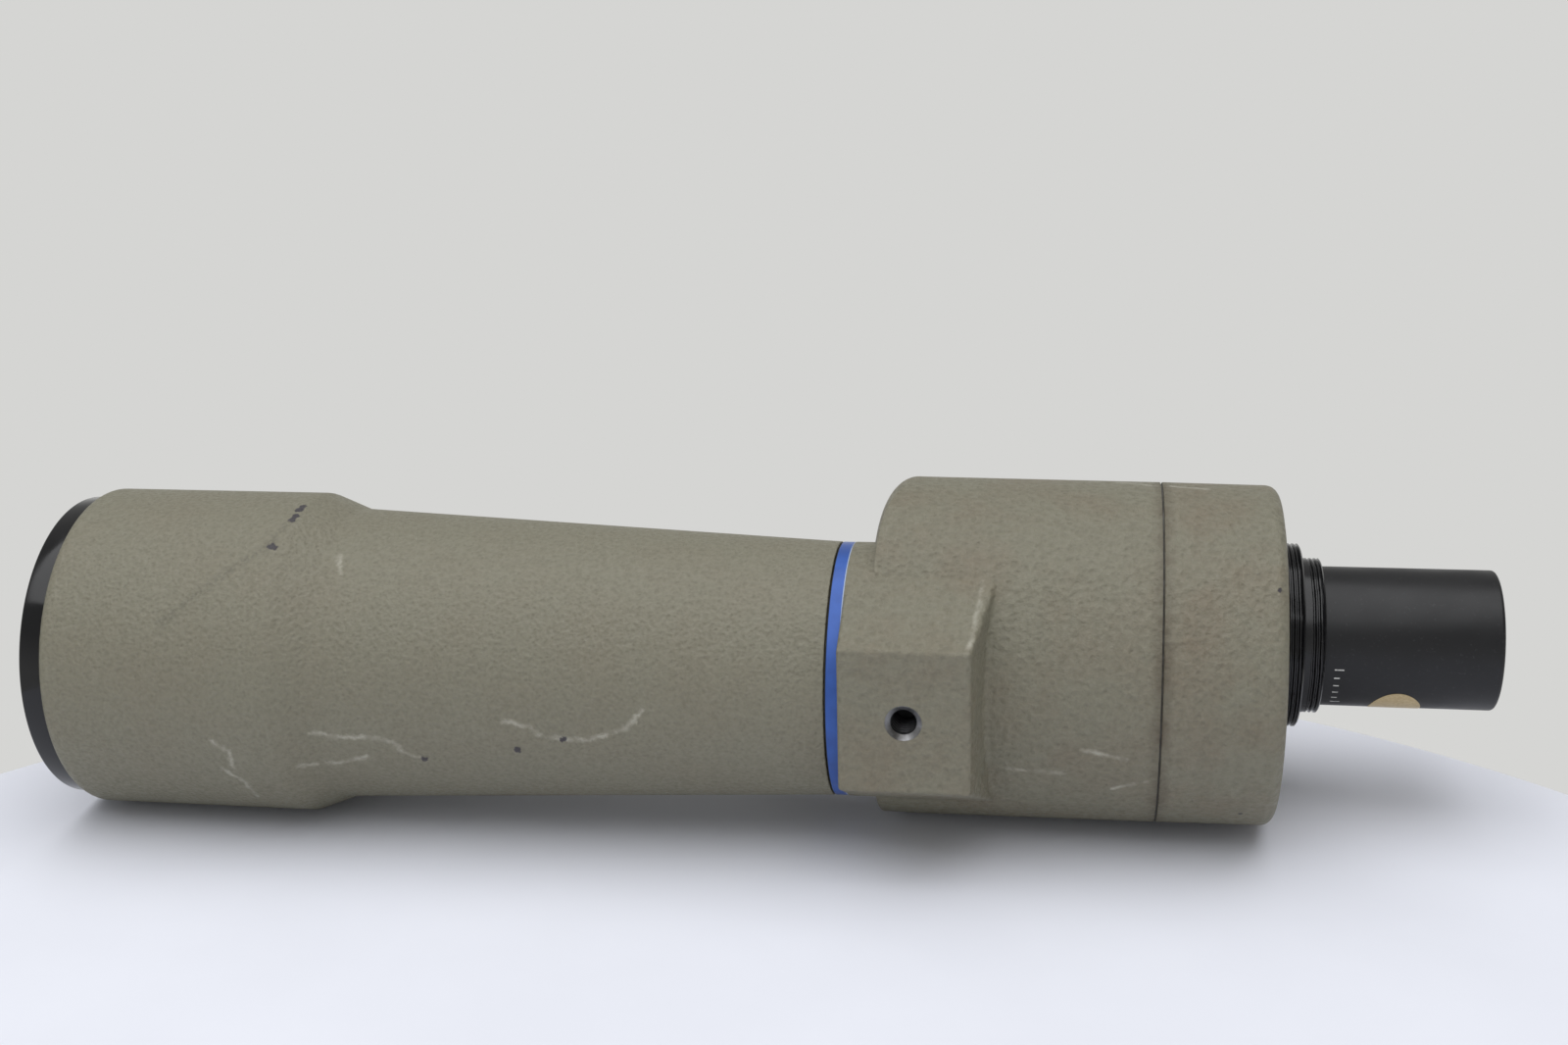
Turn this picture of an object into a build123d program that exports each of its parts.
from build123d import *
import os
from math import cos, radians, sin, sqrt

# A straight-view spotting scope that lies on its side, with its tripod foot facing -Y.
# X runs along the optical axis towards the eyepiece, Y from the foot into the scope, Z up.
# The origin is the mouth of the tripod socket, in the middle of the foot's face.
# A station is a distance along X, measured from the front of the coloured trim ring.
# Millimetres throughout.

# ---- Axes ------------------------------------------------------------------------------
STATION_X = -16.4                 # X of station 0
OBJECTIVE_Y = 30.5                # height of the objective's axis over the foot's face
EYEPIECE_RISE = 30.0              # how far the prisms lift the axis
EYEPIECE_Y = OBJECTIVE_Y + EYEPIECE_RISE
HOUSING_Y = OBJECTIVE_Y + 16.5
PRISMS_Y = OBJECTIVE_Y + EYEPIECE_RISE / 2
PRISM_LEG = EYEPIECE_RISE / sqrt(2)   # sideways step of the beam in each prism
KNOB = (66.7, -17.7)              # y and z of the focusing shaft

# ---- Stations, front to rear -----------------------------------------------------------
RING_FRONT = -172.8
BARREL_FRONT = -167.9
CELL_FRONT, CELL_REAR = -134.0, -113.0
CONE_FRONT, CONE_REAR = -116.9, -108.1
TRIM_REAR = 2.9
DOME_FRONT, DOME_REAR = 6.6, 14.8
SPIGOT_REAR = 12.0
PLATE_FRONT, PLATE_REAR = 38.0, 41.0
CARRIAGE_FRONT, CARRIAGE_REAR = 45.5, 48.0
SEAM_FRONT, SEAM_REAR = 67.6, 68.0
COVER_REAR = 92.8
COLLAR_REAR = 98.8
THREAD_REAR = 103.4
TUBE_REAR = 140.9

# ---- Outside radii ---------------------------------------------------------------------
RING_R, HOOD_R, TAPER_R, NECK_R = 33.6, 35.6, 32.2, 27.35
DOME_FLAT_R, DOME_R, SEAM_R, COVER_R = 24.3, 37.4, 37.1, 36.8
CONE_BEND_R = 3.5                 # where the hood runs into the taper
COLLAR_R, EYEPIECE_THREAD_R, EYEPIECE_R = 20.4, 17.2, 15.45

# ---- Inside radii ----------------------------------------------------------------------
HOOD_BORE_R, FILTER_BORE_R = 33.0, 30.6
TAPER_BORE_R, NECK_BORE_R = 28.9, 23.9
SPIGOT_R, SPIGOT_SOCKET_R = 25.8, 25.85
LEDGE_R, CAVITY_R = 32.6, 34.2
LIGHT_R = 19.0
SHANK_R, COLLAR_BORE_R = 18.9, 17.25
EYEPIECE_BORE_R = 13.2
HOUSING_WALL, RING_THREAD_LENGTH, CELL_LIP = 3.2, 8.0, 2.0
SEAL_GROOVE_FRONT, SEAL_GROOVE_REAR, SEAL_GROOVE_DEPTH, SEAL_CORD_R = 3.8, 5.2, 1.2, 0.58
BAFFLE_SHEET = 1.2
FRONT_BAFFLE, REAR_BAFFLE = (-80.4, 20.5), (-35.4, 17.5)   # station and aperture
FIELD_STOP, FIELD_STOP_R = (106.0, 107.2), 8.5

# ---- Tripod foot -----------------------------------------------------------------------
FOOT_LENGTH, FOOT_WIDTH, FOOT_HEIGHT = 27.0, 30.4, 20.0
FOOT_FLARE = 0.505                # growth of each side per millimetre of height
FOOT_DRAFT = 0.22                 # growth of the rear face per millimetre of height
FOOT_EDGE_R = 0.9
CAST_FILLET_R = 1.5               # where the foot runs into the housing
SHOULDER_GROWTH, SHOULDER_SETBACK = 4.0, 2.0   # neck's shoulder against the dome
SHOULDER_EASE = 0.1            # the shoulder stays this far inside the dome's radius
INSERT_R, INSERT_LENGTH = 3.8, 9.5
SOCKET_R, SOCKET_LENGTH = 2.6, 9.0    # core of the 1/4 inch tripod thread

# ---- Glass -----------------------------------------------------------------------------
GLASS_R, CLEAR_R = 31.0, 29.6
CROWN_FRONT_CURVE, CROWN_REAR_CURVE, FLINT_REAR_CURVE = 190.0, 170.0, 620.0
CROWN_THICKNESS, FLINT_THICKNESS, AIR_GAP = 9.0, 4.0, 0.6
EYEPIECE_GLASS_R = 13.15
FIELD_CURVE, FIELD_THICKNESS = 34.0, 4.6
EYE_CURVE, EYE_THICKNESS, EYE_LENS_REAR = 28.0, 6.0, 137.0
SEAT_GAP = 0.005                  # keeps a lens just off the edge that holds it

# ---- Fasteners -------------------------------------------------------------------------
BOSS_CIRCLE_R, BOSS_R = 31.5, 3.2
COVER_BOSS_ANGLES = (60, 120, 240, 300)   # from +Y towards +Z
PLATE_BOSS_ANGLES = (25, 135, 270)
COVER_SCREW_R, PLATE_SCREW_R = 1.5, 1.25
COVER_SCREW_FRONT, COVER_SCREW_SEAT, COVER_BOSS_FRONT = 60.0, 89.8, 57.0
PLATE_SCREW_FRONT = 32.0

# ---- Focusing --------------------------------------------------------------------------
RUNNING_FIT = 0.05
SHAFT_R, LEAD_SCREW_R = 2.5, 3.0
SHAFT_FRONT, LEAD_SCREW_FRONT, SHAFT_REAR = -17.5, 40.0, 60.0
KNOB_FRONT, KNOB_REAR = -21.0, -2.6
KNOB_R, KNOB_CORE_R = 9.4, 7.6
KNOB_BOSS_FRONT, KNOB_BOSS_R = -1.5, 7.0
BUSH_R, BUSH_FRONT, BUSH_REAR = 4.5, -2.2, 12.0
CLIP_FRONT, CLIP_REAR, CLIP_GROOVE_R = 12.3, 13.1, 1.9
GUIDE_ROD_R, GUIDE_ROD_REAR = 1.5, 62.0
GUIDE_RODS = ((-5.0, 12.0), (-24.5, -3.5))    # along the two prism diagonals
NUT_R, NUT_REAR = 4.0, 53.0
PRISM_EASE = 0.4                  # ground off each prism so that the two clear each other
BEAM_R = 9.5
STRAP_WIDTH, STRAP_SHEET, STRAP_FOOT = 7.0, 0.6, 4.0


# ---- Helpers ---------------------------------------------------------------------------
def along(shape, y, z=0.0):
    """Move a shape made on the X axis from station 0 to the axis at y, z."""
    return Pos(STATION_X, y, z) * shape


def tube(front, rear, outer, inner=0.0, y=OBJECTIVE_Y, z=0.0):
    """A tube between two stations, or a rod if it has no inner radius."""
    body = Cylinder(outer, rear - front)
    if inner:
        body -= Cylinder(inner, rear - front)
    return along(Pos((front + rear) / 2, 0, 0) * Rot(0, 90, 0) * body, y, z)


def turned(points, y=OBJECTIVE_Y, z=0.0):
    """Revolve an outline of (station, radius) or (station, radius, rounding) corners."""
    face = make_face(Polyline([point[:2] for point in points], close=True))
    for station, radius, *rounding in points:
        if rounding:
            corner = face.vertices().sort_by_distance((station, radius, 0))[0]
            face = fillet(corner, rounding[0])
    return along(revolve(face, Axis.X), y, z)


def sag(curve, height):
    """Depth of a spherical surface at a height from its axis. A hollow one is negative."""
    if not curve:
        return 0.0
    depth = abs(curve) - sqrt(curve**2 - height**2)
    return depth if curve > 0 else -depth


def lens(front, thickness, radius, front_curve, rear_curve, y=OBJECTIVE_Y):
    """A lens from its front vertex. A positive curve bulges, a negative one is hollow."""
    heights = (0, radius / 2, radius)
    ahead = [(front + sag(front_curve, h), h) for h in heights]
    behind = [(front + thickness - sag(rear_curve, h), h) for h in heights]
    edges = [Line(ahead[2], behind[2]), Line(behind[0], ahead[0])]
    for curve, points in ((front_curve, ahead), (rear_curve, behind)):
        edges.append(ThreePointArc(*points) if curve else Line(points[0], points[2]))
    return along(revolve(make_face(Wire(edges)), Axis.X), y)


def diagonal(first, second):
    """y and z of a point given along the prisms' two diagonals, from their middle."""
    return PRISMS_Y + (first + second) / sqrt(2), (first - second) / sqrt(2)


def around(angle):
    """y and z of a screw's axis on the housing's circle of bosses."""
    turn = radians(angle)
    return HOUSING_Y + BOSS_CIRCLE_R * cos(turn), BOSS_CIRCLE_R * sin(turn)


def rods(front, rear, radius, centres):
    """One rod between two stations at each (y, z) centre."""
    return [tube(front, rear, radius, y=y, z=z) for y, z in centres]


def diagonal_block(first, second, front, rear):
    """A block between two stations whose sides follow the prisms' diagonals."""
    y, z = diagonal(sum(first) / 2, sum(second) / 2)
    block = Box(rear - front, first[1] - first[0], second[1] - second[0])
    return along(Pos((front + rear) / 2, 0, 0) * Rot(45, 0, 0) * block, y, z)


def bore_radius(station):
    """Radius of the barrel's tapered bore."""
    return NECK_BORE_R + (TAPER_BORE_R - NECK_BORE_R) * station / CONE_REAR


COVER_BOSSES = [around(angle) for angle in COVER_BOSS_ANGLES]
PLATE_BOSSES = [around(angle) for angle in PLATE_BOSS_ANGLES]
ROD_CENTRES = [diagonal(*rod) for rod in GUIDE_RODS]
HALF_LEG = PRISM_LEG / 2
BEAM_IN = diagonal(-HALF_LEG, -HALF_LEG)
BEAM_BETWEEN = diagonal(HALF_LEG, -HALF_LEG)
BEAM_OUT = diagonal(HALF_LEG, HALF_LEG)
FLINT_REAR = CELL_REAR - 2.0 + sag(FLINT_REAR_CURVE, CLEAR_R) - SEAT_GAP
FLINT_FRONT = FLINT_REAR - FLINT_THICKNESS
CROWN_REAR = FLINT_FRONT - AIR_GAP
CROWN_FRONT = CROWN_REAR - CROWN_THICKNESS
TUBE_FRONT = 87.6
TUBE_LIP_REAR = TUBE_FRONT + 1.4
SPACER_BORE_R = 12.1


# ---- Barrel group ----------------------------------------------------------------------
def barrel():
    """Hood, cone and tapered tube in one casting, with a spigot that enters the housing."""
    shell = turned([
        (BARREL_FRONT, HOOD_BORE_R), (BARREL_FRONT, HOOD_R, 2.4), (CONE_FRONT, HOOD_R, CONE_BEND_R),
        (CONE_REAR, TAPER_R, CONE_BEND_R), (-0.3, NECK_R, 0.25), (-0.3, SPIGOT_R),
        (SPIGOT_REAR, SPIGOT_R), (SPIGOT_REAR, NECK_BORE_R), (0, NECK_BORE_R),
        (CONE_REAR, TAPER_BORE_R), (CELL_REAR, TAPER_BORE_R), (CELL_REAR, HOOD_BORE_R)])
    groove_r = SPIGOT_R - SEAL_GROOVE_DEPTH
    return shell - tube(SEAL_GROOVE_FRONT, SEAL_GROOVE_REAR, SPIGOT_R + 1, groove_r)


def front_ring():
    """Anodised ring screwed into the hood, threaded inside for a filter."""
    thread_rear = BARREL_FRONT + RING_THREAD_LENGTH
    return turned([
        (RING_FRONT, FILTER_BORE_R + 0.6), (RING_FRONT, RING_R, 0.5), (BARREL_FRONT, RING_R),
        (BARREL_FRONT, HOOD_BORE_R), (thread_rear, HOOD_BORE_R), (thread_rear, FILTER_BORE_R),
        (RING_FRONT + 0.6, FILTER_BORE_R)])


def objective_cell():
    """Sleeve with a lip behind the glass."""
    sleeve = tube(CELL_FRONT, CELL_REAR, HOOD_BORE_R, GLASS_R)
    return sleeve + tube(CELL_REAR - CELL_LIP, CELL_REAR, GLASS_R + 0.5, CLEAR_R)


def objective_front_lens():
    return lens(CROWN_FRONT, CROWN_THICKNESS, GLASS_R, CROWN_FRONT_CURVE, CROWN_REAR_CURVE)


def objective_rear_lens():
    return lens(FLINT_FRONT, FLINT_THICKNESS, GLASS_R, -CROWN_REAR_CURVE, FLINT_REAR_CURVE)


def objective_spacer():
    """Thin ring that keeps the air gap at the glass's edge."""
    inner = GLASS_R - 1.0
    gap = 2 * SEAT_GAP
    edge = CROWN_REAR - sag(CROWN_REAR_CURVE, GLASS_R) + gap
    step = CROWN_REAR - sag(CROWN_REAR_CURVE, inner) + gap
    sheet = AIR_GAP - 2 * gap
    return turned([(edge, GLASS_R), (edge + sheet, GLASS_R), (step + sheet, inner), (step, inner)])


def objective_retainer():
    """Threaded ring in front of the glass."""
    rear = CROWN_FRONT + sag(CROWN_FRONT_CURVE, CLEAR_R) - SEAT_GAP
    return tube(CELL_FRONT + 0.8, rear, GLASS_R, CLEAR_R)


def baffle(front, aperture):
    """Thin ring pressed into the tapered bore."""
    rear = front + BAFFLE_SHEET
    return tube(front, rear, bore_radius(rear), aperture)


def front_baffle():
    return baffle(*FRONT_BAFFLE)


def rear_baffle():
    return baffle(*REAR_BAFFLE)


def joint_seal():
    """O-ring in the spigot's groove."""
    middle = (SEAL_GROOVE_FRONT + SEAL_GROOVE_REAR) / 2
    ring = Torus(SPIGOT_R - SEAL_GROOVE_DEPTH / 2, SEAL_CORD_R)
    return along(Pos(middle, 0, 0) * Rot(0, 90, 0) * ring, OBJECTIVE_Y)


def trim_ring():
    """Coloured band between the barrel and the housing."""
    band_r = NECK_R - 0.05
    return turned([(0, SPIGOT_SOCKET_R), (0, band_r, 0.25), (TRIM_REAR, band_r, 0.25),
                   (TRIM_REAR, SPIGOT_SOCKET_R)])


# ---- Prism housing ---------------------------------------------------------------------
def quarter_dome(front, rear, flat, full, back, y=HOUSING_Y):
    """A domed solid about an axis, flat at its front and round at its shoulder."""
    shoulder = EllipticalCenterArc((rear, flat), rear - front, full - flat, 90, arc_size=90)
    outline = [shoulder, Line((front, flat), (front, 0)), Line((front, 0), (back[0], 0)),
               Line((back[0], 0), back), Line(back, (rear, full))]
    return along(revolve(make_face(Wire(outline)), Axis.X), y)


def foot():
    """Flared foot. Its front is upright, and its sides and rear spread towards the root."""
    rear_growth = FOOT_DRAFT * FOOT_HEIGHT
    root_width = FOOT_WIDTH + 2 * FOOT_FLARE * FOOT_HEIGHT
    # The plane's own X runs along the scope and its normal runs up from the foot's face.
    level = Plane(origin=(0, 0, 0), x_dir=(1, 0, 0), z_dir=(0, 1, 0))
    face = level * Rectangle(FOOT_LENGTH, FOOT_WIDTH)
    root = level.offset(FOOT_HEIGHT) * Pos(rear_growth / 2, 0) * Rectangle(
        FOOT_LENGTH + rear_growth, root_width)
    block = loft([face, root], ruled=True)
    return fillet(block.edges().filter_by(lambda e: e.center().Y < FOOT_HEIGHT - 1), FOOT_EDGE_R)


def long_edges(body, x_range, y_range, shortest):
    """The edges longer than a length that lie within two ranges of X and Y."""
    chosen = []
    for edge in body.edges():
        box = edge.bounding_box()
        in_x = x_range[0] < box.min.X and box.max.X < x_range[1]
        in_y = y_range[0] < box.min.Y and box.max.Y < y_range[1]
        if in_x and in_y and edge.length > shortest:
            chosen.append(edge)
    return chosen


def neck_shoulder():
    """Second dome, about the neck's axis, where it lies within the housing's cylinder."""
    full = DOME_R + SHOULDER_GROWTH
    front, rear = DOME_FRONT + SHOULDER_SETBACK, DOME_REAR + SHOULDER_SETBACK
    dome = quarter_dome(front, rear, DOME_FLAT_R + SHOULDER_GROWTH, full, (rear + 2, full),
                        OBJECTIVE_Y)
    return dome & tube(front, rear + 1, DOME_R - SHOULDER_EASE, y=HOUSING_Y)


def housing_outside():
    """Dome, neck and foot, with a cast fillet where the foot's rear runs into the dome."""
    body = quarter_dome(DOME_FRONT, DOME_REAR, DOME_FLAT_R, DOME_R, (SEAM_FRONT, SEAM_R))
    body += foot()
    foot_rear = FOOT_LENGTH / 2
    behind_foot = long_edges(body, (foot_rear, foot_rear + 5), (9, FOOT_HEIGHT), FOOT_WIDTH)
    body = fillet(behind_foot, CAST_FILLET_R)
    return body + neck_shoulder() + tube(TRIM_REAR, DOME_REAR + 9, NECK_R)


def housing_hollow():
    """Room inside the housing: a dome, a ledge for the prism plate and a wider rear."""
    hollow = quarter_dome(DOME_FRONT + HOUSING_WALL, DOME_REAR, DOME_FLAT_R, LEDGE_R,
                          (PLATE_FRONT, LEDGE_R))
    hollow += tube(PLATE_FRONT, SEAM_FRONT + 1, CAVITY_R, y=HOUSING_Y)
    for boss in rods(COVER_BOSS_FRONT, SEAM_FRONT + 2, BOSS_R, COVER_BOSSES):
        hollow -= boss
    for boss in rods(0, PLATE_FRONT, BOSS_R, PLATE_BOSSES):
        hollow -= boss
    return hollow - tube(0, SPIGOT_REAR + 2.0, SPIGOT_SOCKET_R + 2.5)


def prism_housing():
    """Casting with the neck, the dome, the foot and the bosses inside."""
    body = housing_outside()
    body += tube(KNOB_BOSS_FRONT, DOME_REAR, KNOB_BOSS_R, y=KNOB[0], z=KNOB[1])
    body -= housing_hollow()
    body -= tube(TRIM_REAR - 1, SPIGOT_REAR, SPIGOT_SOCKET_R)
    body -= tube(SPIGOT_REAR - 1, SPIGOT_REAR + 18, LIGHT_R)
    body -= tube(KNOB_BOSS_FRONT - 1, DOME_REAR + 6, BUSH_R, y=KNOB[0], z=KNOB[1])
    for hole in rods(COVER_SCREW_FRONT - 1, SEAM_FRONT + 1, COVER_SCREW_R, COVER_BOSSES):
        body -= hole
    for hole in rods(PLATE_SCREW_FRONT - 1, PLATE_FRONT + 1, PLATE_SCREW_R, PLATE_BOSSES):
        body -= hole
    return body - Pos(0, INSERT_LENGTH / 2, 0) * Rot(90, 0, 0) * Cylinder(INSERT_R, INSERT_LENGTH)


def tripod_insert():
    """Steel bush in the foot for the tripod screw. Its bore stops short of its inner end."""
    bush = Pos(0, INSERT_LENGTH / 2, 0) * Rot(90, 0, 0) * Cylinder(INSERT_R, INSERT_LENGTH)
    return bush - Pos(0, SOCKET_LENGTH / 2, 0) * Rot(90, 0, 0) * Cylinder(SOCKET_R, SOCKET_LENGTH)


def rear_cover():
    """Rear part of the housing, with a register that enters the front part."""
    shell = turned([(SEAM_REAR, 0), (SEAM_REAR, SEAM_R, 0.25), (COVER_REAR, COVER_R, 2.8),
                    (COVER_REAR, 0)], y=HOUSING_Y)
    hollow = tube(SEAM_REAR - 1, COVER_REAR - 4.5, CAVITY_R, y=HOUSING_Y)
    register = tube(SEAM_REAR - 3.2, SEAM_REAR + 1, CAVITY_R - RUNNING_FIT, CAVITY_R - 2,
                    y=HOUSING_Y)
    for boss in rods(SEAM_REAR, COVER_REAR, BOSS_R, COVER_BOSSES):
        hollow -= boss
    for notch in rods(SEAM_REAR - 4, SEAM_REAR, BOSS_R + 0.4, COVER_BOSSES):
        register -= notch
    shell = shell - hollow + register
    for hole in rods(SEAM_REAR - 1, COVER_REAR + 1, COVER_SCREW_R + 0.2, COVER_BOSSES):
        shell -= hole
    for recess in rods(COVER_SCREW_SEAT, COVER_REAR + 1, 3.0, COVER_BOSSES):
        shell -= recess
    return shell - tube(COVER_REAR - 8, COVER_REAR + 1, SHANK_R, y=EYEPIECE_Y)


def cover_gasket():
    return tube(SEAM_FRONT, SEAM_REAR, SEAM_R - 0.4, CAVITY_R, y=HOUSING_Y)


def cheese_head(front, seat, shank_r, head_r, head_height, centre):
    """Slotted screw along X whose head is at its rear."""
    y, z = centre
    screw = tube(front, seat, shank_r, y=y, z=z)
    screw += tube(seat, seat + head_height, head_r, y=y, z=z)
    slot = Box(head_height, head_r * 3, head_r * 0.3)
    return screw - along(Pos(seat + head_height, 0, 0) * slot, y, z)


def cover_screws():
    return [cheese_head(COVER_SCREW_FRONT, COVER_SCREW_SEAT, COVER_SCREW_R, 2.75, 2.4, centre)
            for centre in COVER_BOSSES]


# ---- Erecting prisms -------------------------------------------------------------------
def base_plane(station, centre, width_axis, base_axis):
    """A plane whose X runs along a prism's base, and whose Y is the prism's height."""
    return Plane(origin=(station + STATION_X, *centre), x_dir=base_axis, z_dir=width_axis)


def wedge(plane, half_base, width):
    """A right-angled prism standing on its long face."""
    outline = Polyline((-half_base, 0), (half_base, 0), (0, half_base), close=True)
    return extrude(plane * make_face(outline), width / 2, both=True)


def strap(plane, half_base):
    """A sheet-metal strap bent over a prism, with a foot at each end."""
    inner = half_base + 0.15
    outer = inner + STRAP_SHEET * sqrt(2)
    shape = wedge(plane, outer, STRAP_WIDTH) - wedge(plane, inner, STRAP_WIDTH + 1)
    for side in (-1, 1):
        pad = Box(STRAP_FOOT, STRAP_SHEET, STRAP_WIDTH)
        shape += plane.location * Pos(side * (outer + STRAP_FOOT / 2 - 0.5), STRAP_SHEET / 2, 0) * pad
    return shape


HALF_BASE = PRISM_LEG - PRISM_EASE
PRISM_WIDTH = PRISM_LEG - 2 * PRISM_EASE
FIRST_DIAGONAL, SECOND_DIAGONAL = (0, 1, 1), (0, 1, -1)
FRONT_BASE = base_plane(PLATE_FRONT, diagonal(HALF_LEG, 0), FIRST_DIAGONAL, SECOND_DIAGONAL)
REAR_BASE = base_plane(CARRIAGE_REAR, diagonal(0, -HALF_LEG), SECOND_DIAGONAL, FIRST_DIAGONAL)


def front_prism():
    return wedge(FRONT_BASE, HALF_BASE, PRISM_WIDTH)


def front_prism_strap():
    return strap(FRONT_BASE, HALF_BASE)


def rear_prism():
    return wedge(REAR_BASE, HALF_BASE, PRISM_WIDTH)


def rear_prism_strap():
    return strap(REAR_BASE, HALF_BASE)


def prism_plate():
    """Fixed plate on the ledge. Its notches let it pass the cover's bosses."""
    front, rear = PLATE_FRONT, PLATE_REAR
    plate = tube(front, rear, CAVITY_R - 0.1, y=HOUSING_Y)
    holes = rods(front - 1, rear + 1, BOSS_R + 0.4, COVER_BOSSES)
    holes += rods(front - 1, rear + 1, PLATE_SCREW_R + 0.15, PLATE_BOSSES)
    holes += rods(front - 1, rear + 1, BEAM_R, (BEAM_IN, BEAM_BETWEEN, BEAM_OUT))
    holes += rods(front - 1, rear + 1, GUIDE_ROD_R, ROD_CENTRES)
    holes += rods(front - 1, rear + 1, LEAD_SCREW_R + 0.4, [KNOB])
    for hole in holes:
        plate -= hole
    return plate


def plate_screws():
    return [cheese_head(PLATE_SCREW_FRONT, PLATE_REAR, PLATE_SCREW_R, 2.3, 1.3, centre)
            for centre in PLATE_BOSSES]


def guide_rods():
    return rods(PLATE_FRONT, GUIDE_ROD_REAR, GUIDE_ROD_R, ROD_CENTRES)


# ---- Focusing --------------------------------------------------------------------------
def prism_carriage():
    """Plate that slides on the rods, with an arm to the nut on the lead screw."""
    front, rear = CARRIAGE_FRONT, CARRIAGE_REAR
    knob_first = (KNOB[0] - PRISMS_Y + KNOB[1]) / sqrt(2)
    knob_second = (KNOB[0] - PRISMS_Y - KNOB[1]) / sqrt(2)
    plate = diagonal_block((-28.0, 26.5), (-PRISM_LEG - 2, 2.5), front, rear)
    plate += diagonal_block((-9.5, -0.9), (0, 24.0), front, rear)
    plate += diagonal_block((-9.5, knob_first + 6.0), (knob_second - 6.2, 33.0), front, rear)
    plate &= tube(front - 1, rear + 1, CAVITY_R - 1.2, y=HOUSING_Y)
    for hub in rods(front, NUT_REAR, 2 * GUIDE_ROD_R, ROD_CENTRES):
        plate += hub
    holes = rods(front - 1, rear + 1, BEAM_R, (BEAM_IN, BEAM_BETWEEN))
    holes += rods(front - 1, NUT_REAR + 1, GUIDE_ROD_R + RUNNING_FIT, ROD_CENTRES)
    holes += rods(front - 1, rear + 1, NUT_R, [KNOB])
    for hole in holes:
        plate -= hole
    return plate


def focus_nut():
    """Flanged brass nut pressed into the carriage's arm."""
    bore = LEAD_SCREW_R + RUNNING_FIT
    nut = tube(CARRIAGE_FRONT, NUT_REAR, NUT_R, bore, y=KNOB[0], z=KNOB[1])
    return nut + tube(CARRIAGE_REAR, CARRIAGE_REAR + 1.2, NUT_R + 1.2, bore, y=KNOB[0], z=KNOB[1])


def focus_bush():
    """Flanged bronze bush in the housing's boss."""
    bore = SHAFT_R + RUNNING_FIT
    bush = tube(BUSH_FRONT, BUSH_REAR, BUSH_R, bore, y=KNOB[0], z=KNOB[1])
    return bush + tube(BUSH_FRONT, KNOB_BOSS_FRONT, 6.0, bore, y=KNOB[0], z=KNOB[1])


def focus_shaft():
    """Plain journal at the front and lead screw at the rear."""
    y, z = KNOB
    shaft = tube(SHAFT_FRONT, LEAD_SCREW_FRONT, SHAFT_R, y=y, z=z)
    shaft += tube(LEAD_SCREW_FRONT, SHAFT_REAR, LEAD_SCREW_R, y=y, z=z)
    shaft -= tube(SHAFT_FRONT - 1, SHAFT_FRONT + 5.0, 1.25, y=y, z=z)
    return shaft - tube(CLIP_FRONT, CLIP_REAR, SHAFT_R + 1, CLIP_GROOVE_R, y=y, z=z)


def shaft_clip():
    """Open clip in the shaft's groove, behind the bush."""
    clip = tube(CLIP_FRONT, CLIP_REAR, 4.2, CLIP_GROOVE_R, y=KNOB[0], z=KNOB[1])
    mouth = Pos((CLIP_FRONT + CLIP_REAR) / 2, 0, 3) * Box(2, 3.0, 6)
    return clip - along(mouth, *KNOB)


def focus_knob():
    """Knob core with a flange at its front, bored for the shaft."""
    y, z = KNOB
    core = turned([
        (KNOB_FRONT, 0), (KNOB_FRONT, KNOB_R, 0.9), (KNOB_FRONT + 2.6, KNOB_R, 0.3),
        (KNOB_FRONT + 2.6, KNOB_CORE_R), (KNOB_REAR, KNOB_CORE_R), (KNOB_REAR, 0)], y=y, z=z)
    core -= tube(SHAFT_FRONT, KNOB_REAR + 1, SHAFT_R, y=y, z=z)
    core -= tube(KNOB_FRONT - 1, SHAFT_FRONT + 1, 1.25, y=y, z=z)
    return core - tube(KNOB_FRONT - 1, KNOB_FRONT + 1.6, 3.0, y=y, z=z)


def knob_grip():
    """Rubber sleeve on the knob's core."""
    return tube(KNOB_FRONT + 2.7, KNOB_REAR, KNOB_R, KNOB_CORE_R, y=KNOB[0], z=KNOB[1])


def knob_screw():
    """Screw that holds the knob on its shaft, with its head at the front."""
    y, z = KNOB
    seat = KNOB_FRONT + 1.6
    screw = tube(seat, SHAFT_FRONT + 4.5, 1.25, y=y, z=z)
    screw += tube(KNOB_FRONT + 0.2, seat, 2.7, y=y, z=z)
    return screw - along(Pos(KNOB_FRONT + 0.2, 0, 0) * Box(1.4, 8, 0.8), y, z)


# ---- Eyepiece --------------------------------------------------------------------------
def eyepiece_collar():
    """Threaded collar on the cover. The eyepiece screws into it."""
    shank_front = COVER_REAR - 7.0
    return turned([(shank_front, COLLAR_BORE_R), (shank_front, SHANK_R), (COVER_REAR, SHANK_R),
                   (COVER_REAR, COLLAR_R), (COLLAR_REAR, COLLAR_R, 0.5),
                   (COLLAR_REAR, COLLAR_BORE_R)], y=EYEPIECE_Y)


def collar_nut():
    """Ring nut that clamps the collar from inside the cover."""
    return tube(COVER_REAR - 7.0, COVER_REAR - 4.5, SHANK_R + 1.3, SHANK_R, y=EYEPIECE_Y)


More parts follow.
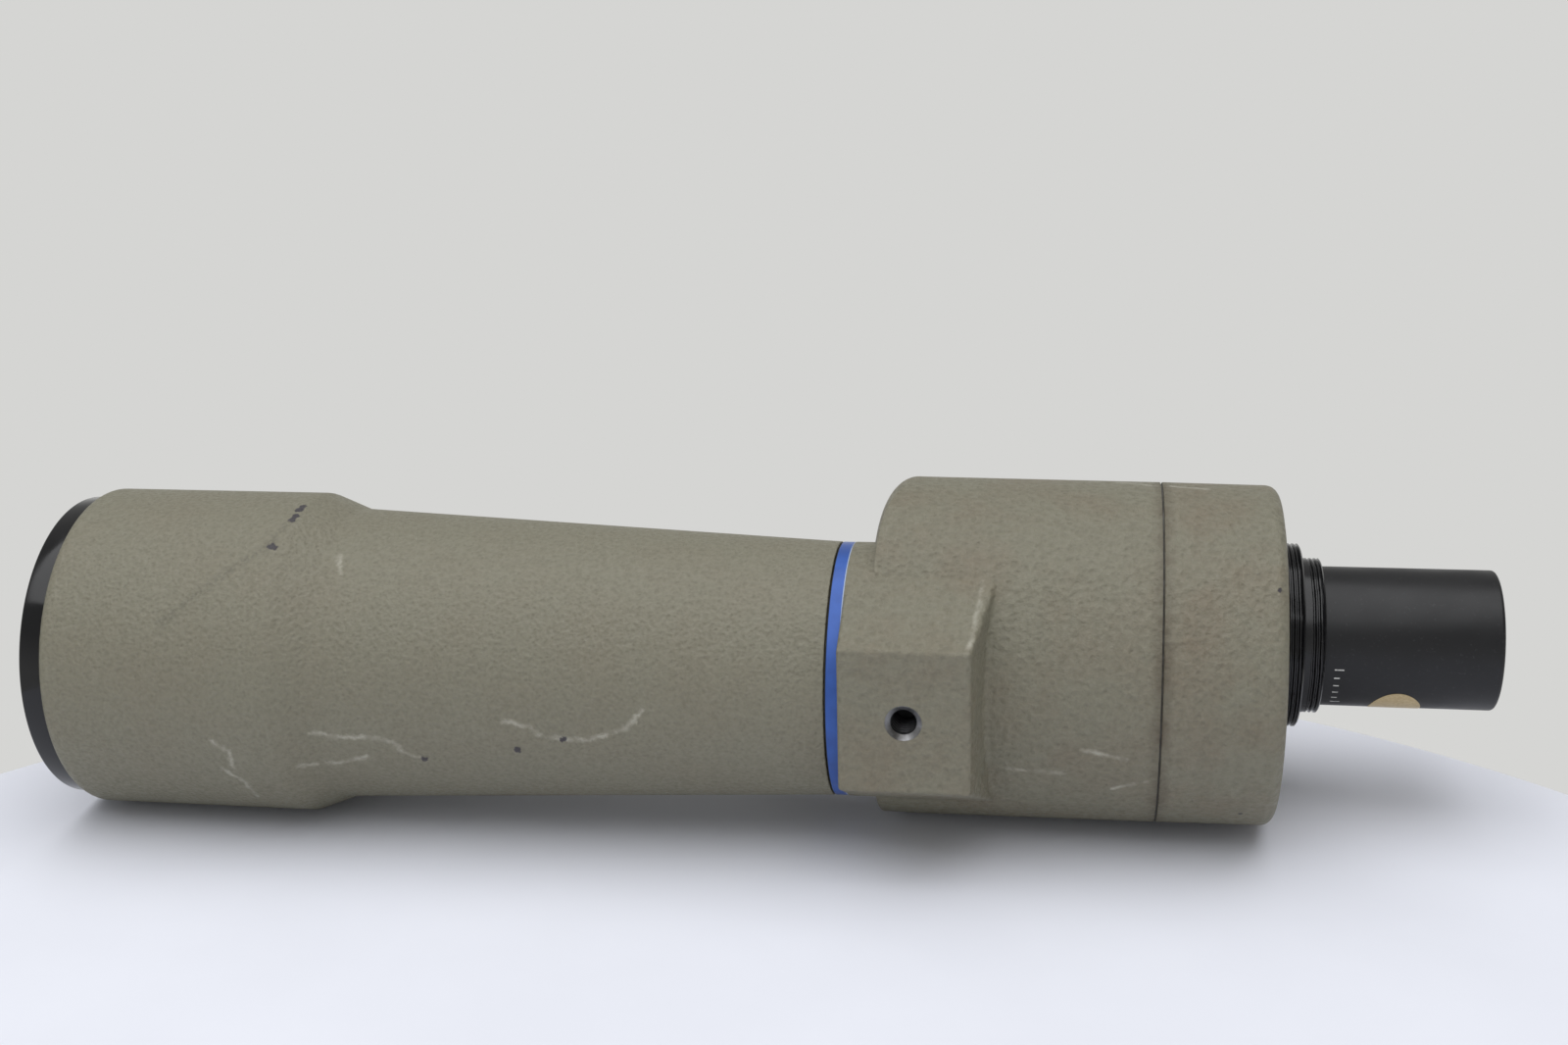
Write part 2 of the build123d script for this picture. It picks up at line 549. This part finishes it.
def eyepiece_tube():
    """Eyepiece body: a threaded front, a plain tube and a countersunk rear rim."""
    lip_r = EYEPIECE_BORE_R - 1.0
    return turned([
        (TUBE_FRONT, lip_r), (TUBE_FRONT, EYEPIECE_THREAD_R, 0.5),
        (THREAD_REAR, EYEPIECE_THREAD_R, 0.5), (THREAD_REAR, EYEPIECE_R),
        (TUBE_REAR, EYEPIECE_R, 0.8), (TUBE_REAR, EYEPIECE_BORE_R + 0.9),
        (TUBE_REAR - 1.2, EYEPIECE_BORE_R), (TUBE_LIP_REAR, EYEPIECE_BORE_R),
        (TUBE_LIP_REAR, lip_r)], y=EYEPIECE_Y)


def field_lens():
    return lens(TUBE_LIP_REAR, FIELD_THICKNESS, EYEPIECE_GLASS_R, 0, FIELD_CURVE, y=EYEPIECE_Y)


def lens_spacer():
    """Blackened sleeve that sets the distance between the two lenses."""
    front = TUBE_LIP_REAR + FIELD_THICKNESS - sag(FIELD_CURVE, SPACER_BORE_R) + SEAT_GAP
    rear = EYE_LENS_REAR - EYE_THICKNESS + sag(EYE_CURVE, SPACER_BORE_R) - SEAT_GAP
    return tube(front, rear, EYEPIECE_BORE_R, SPACER_BORE_R, y=EYEPIECE_Y)


def field_stop():
    """Ring that gives the view its sharp edge."""
    return tube(*FIELD_STOP, SPACER_BORE_R, FIELD_STOP_R, y=EYEPIECE_Y)


def eye_lens():
    return lens(EYE_LENS_REAR - EYE_THICKNESS, EYE_THICKNESS, EYEPIECE_GLASS_R, EYE_CURVE, 0,
                y=EYEPIECE_Y)


def eye_retainer():
    """Threaded ring behind the eye lens."""
    return tube(EYE_LENS_REAR + SEAT_GAP, EYE_LENS_REAR + 1.5, EYEPIECE_BORE_R, 11.0, y=EYEPIECE_Y)


PIECES = (
    barrel, front_ring, objective_cell, objective_front_lens, objective_rear_lens,
    objective_spacer, objective_retainer, front_baffle, rear_baffle, joint_seal, trim_ring,
    prism_housing, tripod_insert, rear_cover, cover_gasket, cover_screws,
    front_prism, front_prism_strap, rear_prism, rear_prism_strap, prism_plate, plate_screws,
    guide_rods, prism_carriage, focus_nut, focus_bush, focus_shaft, shaft_clip, focus_knob,
    knob_grip, knob_screw, eyepiece_collar, collar_nut, eyepiece_tube, field_lens,
    lens_spacer, field_stop, eye_lens, eye_retainer,
)

os.makedirs("parts", exist_ok=True)
for piece in PIECES:
    solid = piece()
    shape = Compound(children=solid) if isinstance(solid, list) else solid
    export_step(shape, f"parts/{piece.__name__}.step")
